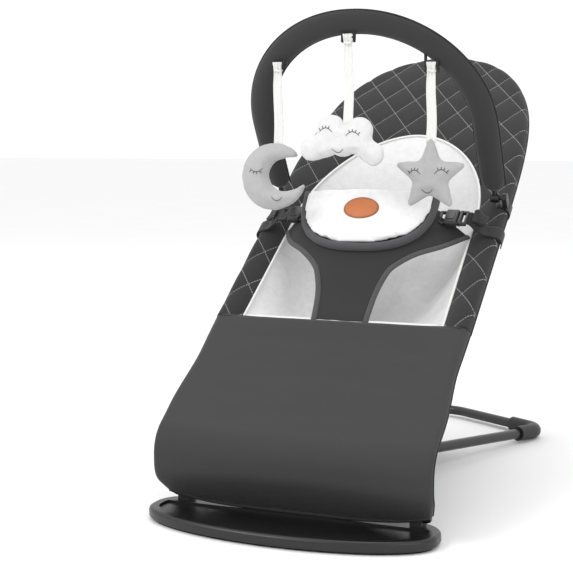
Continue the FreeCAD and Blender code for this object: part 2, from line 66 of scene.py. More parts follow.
INCLINE = math.radians(35.15)
ALONG = Vector((0, math.cos(INCLINE), math.sin(INCLINE)))
OUT = Vector((0, -math.sin(INCLINE), math.cos(INCLINE)))
ACROSS = Vector((1, 0, 0))
UP = Vector((0, 0, 1))
KNUCKLE_S = 0.120
FOOT = pivot("bounce") - ALONG * KNUCKLE_S

FRAME_X = 0.176           # half width between the side tubes' middles
HEAD_S, HEAD_RISE = 0.300, 0.561    # the head's curve: its base on the slope and its height
HEAD_START, HEAD_POWER = 0.285, 5   # the share of that height where it leaves the straight tube
FRONT_X = 0.185           # half width between the spring wires at the front
HEM_REACH, HEM_DROOP = 0.72, 0.0125    # how far the lower cover reaches along the wires to their sockets
COVER_R = 0.0108          # outside of the fabric round the seat's tube
WIRE_R = 0.004
ROLL_RISE = 0.034         # from the wires' sockets to the foot of the front roll
WIRE_COVER_R = 0.0058     # outside of the fabric round the spring wire
SEAM_S = 0.1885           # seam between the lower panel and the quilted cover
LINER_HALF, ARCH_SPRING, ARCH_RISE, ARCH_POWER = 0.142, 0.435, 0.209, 1.85
LINER_DEPTH = 0.054
QUILT_WIDE, QUILT_LONG, QUILT_PUFF = 0.0535, 0.074, 0.0024
BIB_LOW = (0.288, 0.0505)  # foot of the bib, (s, n)
BIB_RISE = math.atan2(0.040, 0.113)
BIB_BOW = 0.26
BIB_HALF, BIB_TOP, BIB_DROP, BIB_POWER = 0.103, 0.117, 0.091, 2.3
BAR_LEAN = math.radians(32)
BAR_HALF, BAR_RISE, BAR_BEND = 0.169, 0.292, 0.167
PAD_WIDE, PAD_THICK = 0.018, 0.011
BUCKLE_S, BUCKLE_N = 0.387, 0.038


def seat(x, s, n=0.0):
    return FOOT + ACROSS * x + ALONG * s + OUT * n


def mix(a, b, t):
    return a + (b - a) * t


def smooth(t):
    t = min(max(t, 0.0), 1.0)
    return t * t * (3 - 2 * t)


def spread(count, low=0.0, high=1.0):
    return [mix(low, high, i / (count - 1)) for i in range(count)]


# Mesh building

def add_object(name, verts, faces):
    mesh = bpy.data.meshes.new(name)
    mesh.from_pydata([tuple(v) for v in verts], [], faces)
    mesh.validate()
    mesh.polygons.foreach_set("use_smooth", [True] * len(mesh.polygons))
    obj = bpy.data.objects.new(name, mesh)
    bpy.context.scene.collection.objects.link(obj)
    return obj


def grid(name, rows, loop=False, ring=False, caps=False):
    """A surface through rows of points. loop closes each row, ring joins the last row to the first."""
    wide, tall = len(rows[0]), len(rows)
    faces = []
    for j in range(tall if ring else tall - 1):
        for i in range(wide if loop else wide - 1):
            k, m = (j + 1) % tall, (i + 1) % wide
            faces.append((j * wide + i, j * wide + m, k * wide + m, k * wide + i))
    if caps:
        faces.append(tuple(range(wide - 1, -1, -1)))
        faces.append(tuple((tall - 1) * wide + i for i in range(wide)))
    obj = add_object(name, [p for row in rows for p in row], faces)
    outward(obj)
    return obj


def outward(obj):
    work = bmesh.new()
    work.from_mesh(obj.data)
    bmesh.ops.recalc_face_normals(work, faces=work.faces)
    work.to_mesh(obj.data)
    work.free()


def apply_modifiers(obj):
    bpy.context.view_layer.update()
    final = obj.evaluated_get(bpy.context.evaluated_depsgraph_get())
    mesh = bpy.data.meshes.new_from_object(final)
    obj.modifiers.clear()
    obj.data = mesh
    mesh.polygons.foreach_set("use_smooth", [True] * len(mesh.polygons))
    return obj


def thicken(obj, thickness, offset=-1.0):
    solid = obj.modifiers.new("solid", "SOLIDIFY")
    solid.thickness = thickness
    solid.offset = offset
    solid.use_even_offset = True
    return apply_modifiers(obj)


def subdivide(obj, levels=1):
    sub = obj.modifiers.new("sub", "SUBSURF")
    sub.levels = sub.render_levels = levels
    return apply_modifiers(obj)


def join(name, parts):
    verts, faces = [], []
    for part in parts:
        start = len(verts)
        verts += [v.co.copy() for v in part.data.vertices]
        faces += [tuple(start + i for i in p.vertices) for p in part.data.polygons]
        bpy.data.objects.remove(part)
    return add_object(name, verts, faces)


def rounded(points, radii, step=0.005):
    """Points along a polyline whose inner corners are rounded by arcs."""
    path = [points[0]]

    def run(to):
        start = path[-1]
        count = max(1, int((to - start).length / step))
        path.extend(start.lerp(to, (i + 1) / count) for i in range(count))

    for before, corner, after, radius in zip(points, points[1:], points[2:], radii):
        back, ahead = (before - corner).normalized(), (after - corner).normalized()
        half = back.angle(ahead) / 2
        reach = radius / math.tan(half)
        centre = corner + (back + ahead).normalized() * (radius / math.sin(half))
        start, end = corner + back * reach, corner + ahead * reach
        run(start)
        turn = math.pi - 2 * half
        count = max(2, int(turn * radius / step))
        first, last = (start - centre).normalized(), (end - centre).normalized()
        for i in range(1, count + 1):
            path.append(centre + first.slerp(last, i / count) * radius)
    run(points[-1])
    return path


def path_frames(path, closed=False, hint=None):
    """(point, side, up) along a path, carried along without twisting."""
    count = len(path)
    frames = []
    side = None
    for i, point in enumerate(path):
        before = path[i - 1] if (i or closed) else path[i]
        after = path[(i + 1) % count] if (i < count - 1 or closed) else path[i]
        along = (after - before).normalized()
        guide = hint if side is None else side
        if guide is None:
            guide = UP if abs(along.z) < 0.9 else ACROSS
        side = (guide - along * guide.dot(along)).normalized()
        frames.append((point, side, along.cross(side)))
    return frames


def sweep(name, path, half_side, half_up=None, sides=12, closed=False, hint=None, size=lambda t: 1.0):
    """A tube of oval section along a path; size scales the section from one end to the other."""
    half_up = half_up or half_side
    rows = []
    for i, (point, side, up) in enumerate(path_frames(path, closed, hint)):
        scale = size(i / (len(path) - 1))
        rows.append([point + side * (half_side * scale * math.cos(a)) + up * (half_up * scale * math.sin(a))
                     for a in spread(sides + 1, 0, 2 * math.pi)[:-1]])
    return grid(name, rows, loop=True, ring=closed, caps=not closed)


def block(name, low, high, bevel, place=seat):
    """A box with rounded edges, from (x, s, n) corners."""
    corners = [place(x, s, n) for n in (low[2], high[2]) for s in (low[1], high[1])
               for x in (low[0], high[0])]
    faces = [(0, 1, 3, 2), (4, 6, 7, 5), (0, 4, 5, 1), (2, 3, 7, 6), (0, 2, 6, 4), (1, 5, 7, 3)]
    obj = add_object(name, corners, faces)
    outward(obj)
    round_off = obj.modifiers.new("bevel", "BEVEL")
    round_off.width = bevel
    round_off.segments = 3
    round_off.limit_method = "ANGLE"
    return apply_modifiers(obj)


def voxels(obj, size):
    remesh = obj.modifiers.new("remesh", "REMESH")
    remesh.mode = "VOXEL"
    remesh.voxel_size = size
    return apply_modifiers(obj)


def surface_of(obj):
    """The shape of an object, to cast rays at."""
    return BVHTree.FromObject(obj, bpy.context.evaluated_depsgraph_get())


def inflate(obj, voxel, pressure, cap, frames=20):
    """Swells a closed shape like a stuffed cushion, by cloth simulation, at most cap from where it was."""
    voxels(obj, voxel)
    relax = obj.modifiers.new("relax", "SMOOTH")
    relax.iterations = 3
    relax.factor = 0.5
    apply_modifiers(obj)
    rest = [v.co.copy() for v in obj.data.vertices]
    cloth = obj.modifiers.new("cloth", "CLOTH")
    cloth.settings.use_pressure = True
    cloth.settings.uniform_pressure_force = pressure
    cloth.settings.effector_weights.gravity = 0
    cloth.settings.quality = 5
    cloth.point_cache.frame_end = frames
    for number in range(1, frames + 1):
        bpy.context.scene.frame_set(number)
    final = obj.evaluated_get(bpy.context.evaluated_depsgraph_get())
    moved = [v.co.copy() for v in final.data.vertices]
    obj.modifiers.clear()
    for vertex, old, new in zip(obj.data.vertices, rest, moved):
        step = new - old
        if step.length > cap:
            step *= cap / step.length
        vertex.co = old + step
    bpy.context.scene.frame_set(1)
    return subdivide(obj)


# Materials

def new_material(name):
    material = bpy.data.materials.new(name)
    material.use_nodes = True
    tree = material.node_tree
    return material, tree, tree.nodes["Principled BSDF"]


def put(tree, kind, **values):
    """Adds a node. A value is a number or a socket to link; i0, i1 name inputs by number, _ is a space."""
    made = tree.nodes.new(kind)
    for key, value in values.items():
        if hasattr(made, key):
            setattr(made, key, value)
            continue
        numbered = key[0] == "i" and key[1:].isdigit()
        index = int(key[1:]) if numbered else key.replace("_", " ")
        if isinstance(value, bpy.types.NodeSocket):
            tree.links.new(value, made.inputs[index])
        else:
            made.inputs[index].default_value = value
    return made


def maths(tree, operation, *values):
    return put(tree, "ShaderNodeMath", operation=operation,
               **{"i%d" % i: v for i, v in enumerate(values)}).outputs[0]


def place_of(tree):
    return tree.nodes.new("ShaderNodeTexCoord").outputs["Object"]


def along_axis(tree, place, axis):
    dot = put(tree, "ShaderNodeVectorMath", operation="DOT_PRODUCT", i0=place, i1=tuple(axis))
    return dot.outputs["Value"]


def noise_of(tree, place, scale, detail=3.0, rough=0.55):
    made = put(tree, "ShaderNodeTexNoise", Vector=place, Scale=scale, Detail=detail, Roughness=rough)
    return made.outputs["Fac"]


def blend_colour(tree, fac, a, b):
    made = put(tree, "ShaderNodeMix", data_type="RGBA")
    for index, value in ((0, fac), (6, a), (7, b)):
        if isinstance(value, bpy.types.NodeSocket):
            tree.links.new(value, made.inputs[index])
        else:
            made.inputs[index].default_value = value if index == 0 else (*value, 1.0)
    return made.outputs[2]


def shade(colour, factor):
    return tuple(min(c * factor, 1.0) for c in colour)


def add_bump(tree, shader, height, distance, strength=1.0):
    made = put(tree, "ShaderNodeBump", Height=height, Distance=distance, Strength=strength)
    tree.links.new(made.outputs[0], shader.inputs["Normal"])


def weave_height(tree, place, pitch, first=(1, 0, 0), second=tuple(ALONG)):
    """Over-and-under of a plain weave: two crossing sets of threads, pitch apart."""
    bands = []
    for axis in (first, second):
        turned = maths(tree, "MULTIPLY", along_axis(tree, place, axis), 2 * math.pi / pitch)
        bands.append(maths(tree, "SINE", turned))
    return maths(tree, "MULTIPLY", bands[0], bands[1])


def fabric(name, colour, pitch=0.0016, rough=0.85, sheen=0.25, mottle=0.14, depth=0.00012, lines=None,
           first=(1, 0, 0), second=tuple(ALONG)):
    """Woven cloth: threads, soft mottling and fuzz. lines draws stitching and gives (amount, colour)."""
    material, tree, shader = new_material(name)
    place = place_of(tree)
    soft = noise_of(tree, place, 14, 4)
    fine = noise_of(tree, place, 420, 2)
    weave = weave_height(tree, place, pitch, first, second)
    tone = blend_colour(tree, soft, shade(colour, 1 - mottle), shade(colour, 1 + mottle))
    speck = maths(tree, "MULTIPLY", fine, 0.35)
    tone = blend_colour(tree, speck, tone, shade(colour, 0.72))
    height = maths(tree, "ADD", weave, maths(tree, "MULTIPLY", fine, 1.2))
    if lines:
        amount, thread = lines(tree, place)
        tone = blend_colour(tree, amount, tone, thread)
        height = maths(tree, "ADD", height, maths(tree, "MULTIPLY", amount, 3.0))
    tree.links.new(tone, shader.inputs["Base Color"])
    rougher = maths(tree, "ADD", maths(tree, "MULTIPLY", soft, 0.12), rough - 0.06)
    tree.links.new(rougher, shader.inputs["Roughness"])
    shader.inputs["Sheen Weight"].default_value = sheen
    shader.inputs["Sheen Roughness"].default_value = 0.45
    shader.inputs["Specular IOR Level"].default_value = 0.3
    add_bump(tree, shader, height, depth)
    return material


def quilt_lines(tree, place):
    """Diamond stitching in a dashed thread, across and up the slope."""
    x = maths(tree, "DIVIDE", along_axis(tree, place, ACROSS), QUILT_WIDE)
    s = maths(tree, "DIVIDE", along_axis(tree, place, ALONG), QUILT_LONG)
    s = maths(tree, "SUBTRACT", s, FOOT.dot(ALONG) / QUILT_LONG)
    families = [maths(tree, "ADD", x, s), maths(tree, "SUBTRACT", x, s)]
    half_line = 0.0006 * math.hypot(1 / QUILT_WIDE, 1 / QUILT_LONG)
    amounts = []
    for own, other in (families, families[::-1]):
        away = maths(tree, "ABSOLUTE", maths(tree, "SUBTRACT", maths(tree, "FRACT", own), 0.5))
        on_line = maths(tree, "LESS_THAN", away, half_line)
        dash = maths(tree, "LESS_THAN", maths(tree, "FRACT", maths(tree, "MULTIPLY", other, 10.0)), 0.7)
        amounts.append(maths(tree, "MULTIPLY", on_line, dash))
    return maths(tree, "MAXIMUM", *amounts), (0.26, 0.26, 0.26)


def plush(name, colour, sheen=0.5, grain=900):
    """Short-pile fleece: fine fibres, clumped pile and a soft sheen."""
    material, tree, shader = new_material(name)
    place = place_of(tree)
    pile = noise_of(tree, place, grain, 3, 0.7)
    clump = noise_of(tree, place, 95, 3)
    tone = blend_colour(tree, clump, shade(colour, 0.86), shade(colour, 1.1))
    tone = blend_colour(tree, maths(tree, "MULTIPLY", pile, 0.3), tone, shade(colour, 0.7))
    tree.links.new(tone, shader.inputs["Base Color"])
    tree.links.new(maths(tree, "ADD", maths(tree, "MULTIPLY", clump, 0.15), 0.8), shader.inputs["Roughness"])
    shader.inputs["Sheen Weight"].default_value = sheen
    shader.inputs["Sheen Roughness"].default_value = 0.35
    height = maths(tree, "ADD", pile, maths(tree, "MULTIPLY", clump, 2.0))
    add_bump(tree, shader, height, 0.0005)
    return material


def moulded(name, colour, rough=0.42, grain=0.00008, coat=0.0, metal=0.0, scale=1500):
    """Moulded plastic, painted or plated metal: fine grain, smudged gloss, faint wear in its tone."""
    material, tree, shader = new_material(name)
    place = place_of(tree)
    fine = noise_of(tree, place, scale, 2)
    smudge = noise_of(tree, place, 22, 4, 0.6)
    tone = blend_colour(tree, smudge, shade(colour, 0.85), shade(colour, 1.2))
    tree.links.new(tone, shader.inputs["Base Color"])
    tree.links.new(maths(tree, "ADD", maths(tree, "MULTIPLY", smudge, 0.18), rough - 0.09),
                   shader.inputs["Roughness"])
    shader.inputs["Metallic"].default_value = metal
    shader.inputs["Coat Weight"].default_value = coat
    add_bump(tree, shader, fine, grain)
    return material


def webbing(name, colour, pitch=0.0024, axis=(0, 1, 0)):
    """Narrow woven strap: ribs across its length."""
    return fabric(name, colour, pitch, rough=0.7, sheen=0.15, depth=0.0003, first=axis,
                  second=(1, 0, 0))


def leather(name, colour, centre):
    """Embossed oval patch: pebbled grain, a darker band round its edge."""
    material, tree, shader = new_material(name)
    place = place_of(tree)
    grain = put(tree, "ShaderNodeTexVoronoi", Vector=place, Scale=700).outputs["Distance"]
    cloud = noise_of(tree, place, 60, 4)
    reach = put(tree, "ShaderNodeVectorMath", operation="SUBTRACT", i0=place, i1=tuple(centre)).outputs[0]
    across = maths(tree, "DIVIDE", along_axis(tree, reach, ACROSS), PATCH_HALF[0])
    rise = maths(tree, "DIVIDE", along_axis(tree, reach, bib_axes()[0]), PATCH_HALF[1])
    radius = maths(tree, "ADD", maths(tree, "MULTIPLY", across, across), maths(tree, "MULTIPLY", rise, rise))
    # darker colour in a band round the patch's rim
    edge = maths(tree, "MULTIPLY", maths(tree, "GREATER_THAN", radius, 0.80), 0.75)
    tone = blend_colour(tree, cloud, shade(colour, 0.85), shade(colour, 1.12))
    tone = blend_colour(tree, edge, tone, (0.19, 0.07, 0.02))
    tree.links.new(tone, shader.inputs["Base Color"])
    shader.inputs["Roughness"].default_value = 0.5
    add_bump(tree, shader, maths(tree, "ADD", grain, cloud), 0.0002)
    return material


def paint(obj, material):
    obj.data.materials.clear()
    obj.data.materials.append(material)
    return obj


def finish_piece(obj, material, body, slot, *replaced):
    paint(obj, material)
    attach(obj, body)
    if replaced:
        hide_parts(*replaced)
    return obj


# Quilted cover: a horseshoe between the liner's arch and the frame's hoop

def arch_point(a):
    """Edge of the liner, a from 0 at the top of the arch to 1 at the seam, as (half width, s)."""
    if a < 0.5:
        theta = math.radians(90) * (1 - 2 * a)
        power = 2 / ARCH_POWER
        return (LINER_HALF * max(math.cos(theta), 0.0) ** power,
                ARCH_SPRING + ARCH_RISE * max(math.sin(theta), 0.0) ** power)
    down = 2 * a - 1
    return LINER_HALF + 0.005 * down, mix(ARCH_SPRING, SEAM_S, down)


def hoop_point(a):
    """Middle of the side tube, a from 0 at the top of the head to 1 at the seam, as (half width, s)."""
    if a < 0.5:
        share = math.sin(mix(math.pi / 2, math.asin(HEAD_START), 2 * a))
        return FRAME_X * math.sqrt(max(1 - share ** HEAD_POWER, 0.0)), HEAD_S + HEAD_RISE * share
    return FRAME_X, mix(HEAD_S + HEAD_RISE * HEAD_START, SEAM_S, 2 * a - 1)


def hoop_away(a):
    """Direction away from the seat, square to the tube."""
    before, after = Vector(hoop_point(max(a - 0.004, 0))), Vector(hoop_point(min(a + 0.004, 1)))
    run = after - before
    return Vector((-run.y, run.x)).normalized()


def quilt_puff(x, s):
    first = abs(math.cos(math.pi * (x / QUILT_WIDE + s / QUILT_LONG)))
    second = abs(math.cos(math.pi * (x / QUILT_WIDE - s / QUILT_LONG)))
    return QUILT_PUFF * (first * second) ** 0.45


def cover_section(t):
    """One closed section of the quilted cover; t from -1 at the left of the seam to 1 at its right."""
    sign = 1 if t >= 0 else -1
    inner_x, inner_s = arch_point(abs(t))
    outer_x, outer_s = hoop_point(abs(t))
    inner, outer = Vector((sign * inner_x, inner_s)), Vector((sign * outer_x, outer_s))
    span = outer - inner
    away = hoop_away(abs(t))
    away.x *= sign
    points = []
    for f in spread(42):
        at = inner + span * f
        rise = mix(0.0016, COVER_R, math.sin(f * math.pi / 2))
        fade = smooth(f * span.length / 0.012)
        points.append(seat(at.x, at.y, rise + quilt_puff(at.x, at.y) * fade))
    for turn in spread(13, math.pi / 2, -math.pi / 2)[1:]:
        at = outer + away * (COVER_R * math.cos(turn))
        puff = quilt_puff(at.x, at.y) * max(math.sin(turn), 0)
        points.append(seat(at.x, at.y, COVER_R * math.sin(turn) + puff))
    for f in spread(16)[1:]:
        at = outer - span * f
        tuck = smooth(f * span.length / 0.022)
        points.append(seat(at.x, at.y, mix(-COVER_R, -0.0068, tuck)))
    return points


def make_seat_cover():
    cover = grid("seat_cover", [cover_section(t) for t in spread(361, -1, 1)], loop=True, caps=True)
    finish_piece(cover, MATERIAL["quilt"], "seat", "quilted_fabric", "back_panel", "edge_sleeve")
    rim = []
    for t in spread(241, -1, 1):
        edge = Vector(hoop_point(abs(t))) + hoop_away(abs(t)) * (COVER_R + 0.0002)
        rim.append(seat(math.copysign(edge.x, t), edge.y, -0.003))
    edge = sweep("cover_edge_seam", rim, 0.0011, sides=8, hint=OUT)
    finish_piece(edge, MATERIAL["edging"], "seat", "quilted_fabric")
    pipe = []
    for t in spread(241, -1, 1):
        x, s = arch_point(abs(t))
        pipe.append(seat((1 if t >= 0 else -1) * x, s, 0.0022))
    piping = sweep("liner_piping", pipe, 0.0019, sides=10, hint=OUT)
    finish_piece(piping, MATERIAL["white_trim"], "seat", "liner_fabric")


# Lower panel: from the seam down the slope, over the front roll and in to its hem

def wire_line():
    """The spring wire's line in the side view, from the seam down to the plate's socket."""
    socket = pivot("recline")
    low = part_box("spring_wire_left")[0]
    front_y = low.y + WIRE_R
    foot_s = (front_y - FOOT.y) / ALONG.y
    return [seat(0, SEAM_S), seat(0, foot_s), Vector((0, front_y, socket.z + ROLL_RISE)), socket]


def make_lower_cover():
    points = wire_line()
    end = points[-2].lerp(points[-1], HEM_REACH)
    path = rounded([points[0], points[1], points[2], end], [0.045, 0.034], 0.004)
    rows = []
    travelled = 0.0
    for i, (point, out, _) in enumerate(path_frames(path, hint=OUT)):
        if i:
            travelled += (path[i] - path[i - 1]).length
        half, radius = lower_edge(point)
        rows.append(lower_section(point, out, half, radius, travelled))
    cover = grid("lower_cover", rows, loop=True, caps=True)
    paint(cover, MATERIAL["plain"])
    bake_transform(cover)
    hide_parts("lower_panel", "front_panel")
    make_lower_trim(path)


def below_roll(point):
    """Height of a point under the foot of the front roll."""
    return pivot("recline").z + ROLL_RISE - point.z


def lower_edge(point):
    """Half width of the panel and size of its side pockets, at a point of its line."""
    s = (point - FOOT).dot(ALONG)
    if point.z < FOOT.z:
        s = -0.05
    half = mix(FRAME_X, FRONT_X, smooth((0.125 - s) / 0.11))
    half -= (FRONT_X - FRAME_X) * smooth(below_roll(point) / ROLL_RISE)
    return half, mix(WIRE_COVER_R, COVER_R, smooth((s + 0.02) / 0.21))


def droop(point, x, half):
    """How far the panel sags below the wires towards its hem, most in the middle."""
    return UP * (-HEM_DROOP * smooth(below_roll(point) / 0.028) * (1 - min(abs(x / half), 1) ** 4))


def lower_section(point, out, half, radius, travelled):
    """A closed section across the panel: one layer of cloth with a pocket round each wire."""
    def sag(x):
        return 0.0035 * (1 - (x / half) ** 2) * smooth(travelled / 0.05)

    top = []
    for x in spread(61, -half, half):
        crease = noise.noise(Vector((x * 7, travelled * 34, 3.1)))
        crease *= 0.0011 * (1 - (x / half) ** 2) * smooth(travelled / 0.02)
        ripple = noise.noise(Vector((x * 30, travelled * 60, 9.7))) * 0.0003
        top.append((x, radius - sag(x) + crease + ripple))
    under = [(half + radius * math.cos(turn), radius * math.sin(turn))
             for turn in spread(11, math.pi / 2, -math.pi / 2)[1:]]
    for x in spread(31, half - 0.004, 0.0):
        tuck = smooth((half - 0.004 - x) / 0.018)
        under.append((x, mix(-radius, radius - sag(x) - 0.0022, tuck)))
    outline = top + under + [(-x, n) for x, n in under[-2::-1]]
    return [point + ACROSS * x + out * n + droop(point, x, half) for x, n in outline]


def make_lower_trim(path):
    frames = path_frames(path, hint=OUT)
    for side, name in ((-1, "left"), (1, "right")):
        line = []
        for point, out, _ in frames:
            half, radius = lower_edge(point)
            line.append(point + ACROSS * side * (half + radius) - out * 0.001)
        seam = sweep("lower_edge_" + name, line, 0.0013, sides=8, hint=OUT)
        paint(seam, MATERIAL["edging"])
        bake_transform(seam)
    point, out, _ = frames[-1]
    half = lower_edge(point)[0] + 0.003
    bar = [point + ACROSS * x + out * 0.002 + droop(point, x, half) for x in spread(41, -half, half)]
    hem = sweep("lower_hem", bar, 0.0042, 0.0022, sides=12, hint=out)
    finish_piece(hem, MATERIAL["edging"], "lower_frame", "lower_fabric")
    line = []
    for x in spread(41, -FRAME_X, FRAME_X):
        line.append(seat(x, SEAM_S, mix(COVER_R, 0.0075, 1 - (x / FRAME_X) ** 4)))
    seam = sweep("seam_roll", line, 0.0022, 0.0016, sides=10, hint=ALONG)
    finish_piece(seam, MATERIAL["plain"], "seat", "lower_fabric")


# Liner: the deep light pocket, and its dark back

def liner_depth(g, tau):
    """Depth of the pocket: g is -1 and 1 at its edges, tau runs from 0 at the seam to 1 at the top."""
    side = 1 - (1 - min((1 - abs(g)) / 0.5, 1)) ** 2.2
    low = 1 - (1 - min(tau / 0.2, 1)) ** 2.4
    high = smooth((1 - tau) / 0.55)
    return LINER_DEPTH * side * low * high


def folds(x, s):
    """Soft creases, mostly running out from the crotch to the sides."""
    warp = noise.noise(Vector((x * 9, s * 9, 1.7))) * 0.9
    angle = math.atan2(s - 0.15, abs(x) + 0.02)
    ridge = 1 - abs(noise.noise(Vector((angle * 3.2 + warp, x * 7 + 4, s * 5))))
    second = noise.noise(Vector((x * 16 + warp, s * 13, 5.2)))
    return 0.0042 * ridge ** 3 + 0.0022 * second


def liner_point(g, a, sink=0.0):
    x, s = arch_point(a)
    tau = (s - SEAM_S) / (ARCH_SPRING + ARCH_RISE - SEAM_S)
    depth = liner_depth(g, tau)
    crumple = folds(x * g, s) * min(depth / 0.018, 1)
    return seat(x * g, s, 0.001 - depth + crumple - sink)


def make_liner():
    columns = [math.sin(g * math.pi / 2) for g in spread(65, -1, 1)]
    rows = [[liner_point(g, a) for g in columns] for a in spread(121, 1.0, 0.004)]
    liner = thicken(grid("liner", rows), 0.0016)
    finish_piece(liner, MATERIAL["liner"], "seat", "liner_fabric", "seat_liner")
    rows = [[liner_point(g, a, 0.0042) for g in columns] for a in spread(121, 1.0, 0.004)]
    back = thicken(grid("pocket_back", rows), 0.0016)
    finish_piece(back, MATERIAL["plain"], "seat", "quilted_fabric")
    strip = []
    for x in spread(33, -LINER_HALF - 0.001, LINER_HALF + 0.001):
        strip.append(seat(x, SEAM_S + 0.006, 0.0035 + 0.0004 * noise.noise(Vector((x * 60, 0, 2)))))
    hem = sweep("liner_hem", strip, 0.0048, 0.0022, sides=12, hint=ALONG)
    finish_piece(hem, MATERIAL["white_trim"], "seat", "liner_fabric")


# Yoke: the dark piece that rises from the seam and spreads to both sides under the bib

YOKE_EDGE = [(0.038, 0.192, 0.005), (0.042, 0.235, 0.017), (0.050, 0.265, 0.027), (0.060, 0.283, 0.032),
             (0.085, 0.309, 0.033), (0.117, 0.340, 0.024), (0.141, 0.386, 0.005)]
YOKE_SPINE = [(0.192, 0.005), (0.232, 0.017), (0.262, 0.030), (0.288, 0.0405), (0.315, 0.050),
              (0.345, 0.0605), (0.385, 0.0745)]


def catmull(points, t):
    """A smooth curve through a few points, t from 0 to 1."""
    at = t * (len(points) - 1)
    i = min(int(at), len(points) - 2)
    f = at - i
    p = [points[max(min(k, len(points) - 1), 0)] for k in (i - 1, i, i + 1, i + 2)]
    return tuple(0.5 * (2 * b + (c - a) * f + (2 * a - 5 * b + 4 * c - d) * f ** 2
                        + (3 * b - 3 * c + d - a) * f ** 3) for a, b, c, d in zip(*p))


def yoke_point(f, t):
    """f from -1 to 1 across, t from 0 at the seam to 1 at the buckles."""
    edge_x, edge_s, edge_n = catmull(YOKE_EDGE, t)
    spine_s, spine_n = catmull(YOKE_SPINE, t)
    g = abs(f)
    flare = smooth((t - 0.5) / 0.5)
    drop = g ** mix(2.0, 2.6, flare)
    return seat(math.copysign(edge_x * g, f), mix(spine_s, edge_s, g ** mix(2.0, 1.5, flare)),
                mix(spine_n, edge_n, drop))


def make_yoke():
    rows = [[yoke_point(f, t) for f in spread(49, -1, 1)] for t in spread(81)]
    yoke = thicken(grid("yoke", rows), 0.003)
    finish_piece(yoke, MATERIAL["plain_fine"], "seat", "lower_fabric", "crotch_column", "bib_wing_left",
                 "bib_wing_right")
    for side, name in ((-1, "left"), (1, "right")):
        line = [yoke_point(side * 0.999, t) for t in spread(97)]
        piping = sweep("yoke_piping_" + name, line, 0.0042, 0.0024, sides=12, hint=ACROSS)
        finish_piece(piping, MATERIAL["grey_binding"], "seat", "lower_fabric")


# Bib

def bib_axes():
    """(up the bib, out of the bib)"""
    return (ALONG * math.cos(BIB_RISE) + OUT * math.sin(BIB_RISE),
            OUT * math.cos(BIB_RISE) - ALONG * math.sin(BIB_RISE))


def bib_place(x, v, w):
    """A point on the bib: across, up from its foot, and out of its face, which is bowed over the lap."""
    rise, out = bib_axes()
    bow = BIB_BOW + w
    turn = x / BIB_BOW
    return (seat(0, *BIB_LOW) + rise * v + ACROSS * (bow * math.sin(turn))
            + out * (bow * math.cos(turn) - BIB_BOW))


def bib_outline(inset=0.0, count=96):
    """Straight across the top and a full round below."""
    middle = BIB_TOP - 0.012
    points = []
    for i in range(count + 1):
        theta = math.pi * i / count
        c, s = math.cos(theta), math.sin(theta)
        power = 2 / BIB_POWER
        x = (BIB_HALF - inset) * math.copysign(abs(c) ** power, c)
        points.append((x, middle - (BIB_DROP - inset) * s ** power))
    return points


def make_bib():
    low = bib_outline(0.001)
    corner = 0.010
    top = BIB_TOP - 0.003
    side = low[0][0]
    ends = []
    for sign in (-1, 1):
        arc = [(sign * (side - corner + corner * math.cos(a)), top - corner + corner * math.sin(a))
               for a in spread(5, 0, math.pi / 2)]
        ends.append(arc if sign < 0 else arc[::-1])
    outline = low + ends[0] + ends[1]
    pad = flat_cushion("bib_pad", outline, 0.0035, lambda x, v, w: bib_place(x, v, w - 0.0045))
    inflate(pad, 0.0045, 4.0, 0.005)
    finish_piece(pad, MATERIAL["bib"], "seat", "bib_fabric", "bib_panel")
    edge = bib_outline(-0.001)
    edge = [(edge[0][0], BIB_TOP - 0.002)] + edge + [(edge[-1][0], BIB_TOP - 0.002)]
    line = [bib_place(x, v, -0.0048) for x, v in edge]
    hint = bib_axes()[1]
    binding = sweep("bib_binding", line, 0.0064, 0.0058, sides=14, hint=hint)
    finish_piece(binding, MATERIAL["grey_binding"], "seat", "bib_fabric")
    make_patch(pad)


PATCH_HALF = (0.0268, 0.0178)
PATCH_V = 0.073
PATCH_PROFILE = [(0.0, 0.0019), (0.25, 0.0019), (0.5, 0.0019), (0.72, 0.0019), (0.86, 0.0010), (0.93, 0.0019),
                 (0.98, 0.0014), (1.0, 0.0), (1.0, -0.001)]    # (share of its half size, lift off the bib)


def make_patch(pad):
    """A blank oval patch laid on the bib's face."""
    surface = surface_of(pad)
    out = bib_axes()[1]
    rows = []
    for ring, lift in PATCH_PROFILE:
        row = []
        for a in spread(65, 0, 2 * math.pi)[:-1]:
            x, v = PATCH_HALF[0] * ring * math.cos(a), PATCH_V + PATCH_HALF[1] * ring * math.sin(a)
            under = bib_place(x, v, 0)
            hit = surface.ray_cast(under + out * 0.04, -out)[0]
            row.append((hit or under) + out * lift)
        rows.append(row)
    patch = grid("name_patch_blank", rows, loop=True)
    finish_piece(patch, MATERIAL["leather"], "seat", "patch_leather", "bib_patch")


def flat_cushion(name, outline, half, place):
    """A closed flat shape from an outline, half thick each way, put in place by a function."""
    work = bmesh.new()
    layers = []
    for w in (-half, half):
        verts = [work.verts.new((x, v, w)) for x, v in outline]
        layers.append((verts, work.faces.new(verts)))
    lower, upper = layers[0][0], layers[1][0]
    count = len(outline)
    for i in range(count):
        k = (i + 1) % count
        work.faces.new((lower[i], lower[k], upper[k], upper[i]))
    bmesh.ops.recalc_face_normals(work, faces=work.faces)
    bmesh.ops.triangulate(work, faces=[layers[0][1], layers[1][1]])
    mesh = bpy.data.meshes.new(name)
    work.to_mesh(mesh)
    work.free()
    obj = bpy.data.objects.new(name, mesh)
    bpy.context.scene.collection.objects.link(obj)
    voxels(obj, 0.0025)
    for vertex in obj.data.vertices:
        vertex.co = place(*vertex.co)
    return obj


# Buckles and straps

